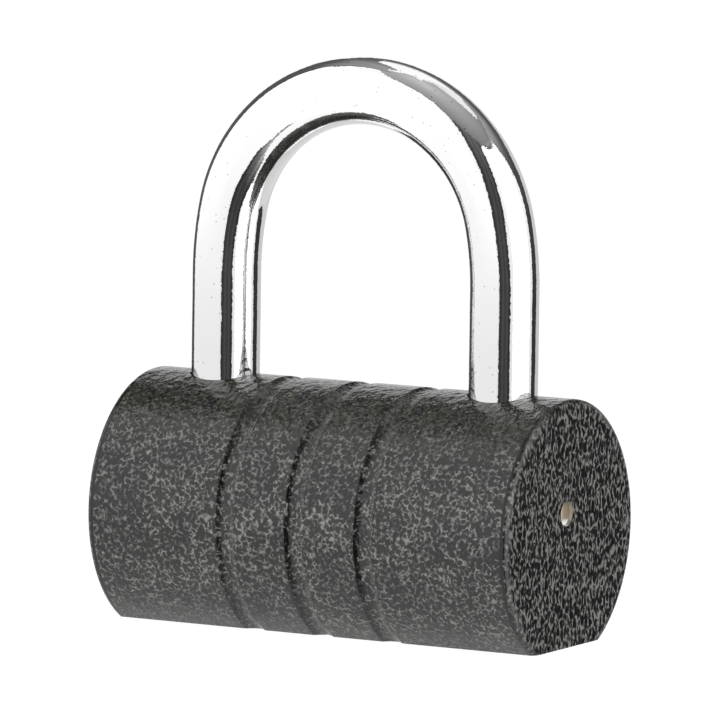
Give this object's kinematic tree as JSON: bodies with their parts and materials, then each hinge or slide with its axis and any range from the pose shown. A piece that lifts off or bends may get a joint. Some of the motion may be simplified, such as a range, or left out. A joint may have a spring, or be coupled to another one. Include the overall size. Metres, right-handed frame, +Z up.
{
  "type": "padlock",
  "caption": "Heavy barrel padlock with a hammer-finish steel body, a chromed round bow that lifts to open, and a pin tumbler cylinder in its flat underside.",
  "frame": {"origin": "centre of the flat under the barrel, half way along it", "axes": "+X along the barrel to its pinned end, -Y the pictured front, +Z up the bow"},
  "size_m": [0.0896, 0.05, 0.1078],
  "materials": {
    "hammer_paint": "glossy black and grey hammer paint with a fine raised vein",
    "chrome_plate": "bright chrome plate on a polished round bar",
    "brass": "turned bare brass",
    "hard_steel": "hardened steel, ground",
    "spring_steel": "drawn spring wire and strip"
  },
  "bodies": {
    "barrel": {"barrel": "hammer_paint", "shackle_retaining_pin": "brass", "shackle_spring": "spring_steel", "toe_latch_spring": "spring_steel", "heel_latch_spring": "spring_steel", "cylinder_shell": "brass", "cylinder_dowel": "hard_steel", "chamber_stoppers": "brass", "driver_pin_1": "brass", "driver_pin_2": "brass", "driver_pin_3": "brass", "driver_pin_4": "brass", "driver_pin_5": "brass", "pin_spring_1": "spring_steel", "pin_spring_2": "spring_steel", "pin_spring_3": "spring_steel", "pin_spring_4": "spring_steel", "pin_spring_5": "spring_steel"},
    "shackle": {"shackle": "chrome_plate"},
    "plug": {"plug": "brass", "plug_clip": "spring_steel", "cam": "hard_steel", "key_pin_1": "brass", "key_pin_2": "brass", "key_pin_3": "brass", "key_pin_4": "brass", "key_pin_5": "brass"},
    "toe_latch": {"toe_latch": "hard_steel"},
    "heel_latch": {"heel_latch": "hard_steel"}
  },
  "joints": [
    {"name": "shackle_lift", "type": "slide", "parent": "barrel", "child": "shackle", "axis": [0, 0, 1], "range_m": [0, 0.015], "deforming": ["shackle_spring"]},
    {"name": "plug_turn", "type": "hinge", "parent": "barrel", "child": "plug", "pos_m": [0, 0, 0.02], "axis": [0, 0, 1], "range_deg": [0, 90]},
    {"name": "toe_latch_slide", "type": "slide", "parent": "barrel", "child": "toe_latch", "axis": [-1, 0, 0], "range_m": [0, 0.0026], "deforming": ["toe_latch_spring"]},
    {"name": "heel_latch_slide", "type": "slide", "parent": "barrel", "child": "heel_latch", "axis": [1, 0, 0], "range_m": [0, 0.0026], "deforming": ["heel_latch_spring"]}
  ],
  "couplings": [
    {"joint": "toe_latch_slide", "follows": "plug_turn", "m_per_rad": 0.0016552},
    {"joint": "heel_latch_slide", "follows": "plug_turn", "m_per_rad": 0.0016552}
  ]
}
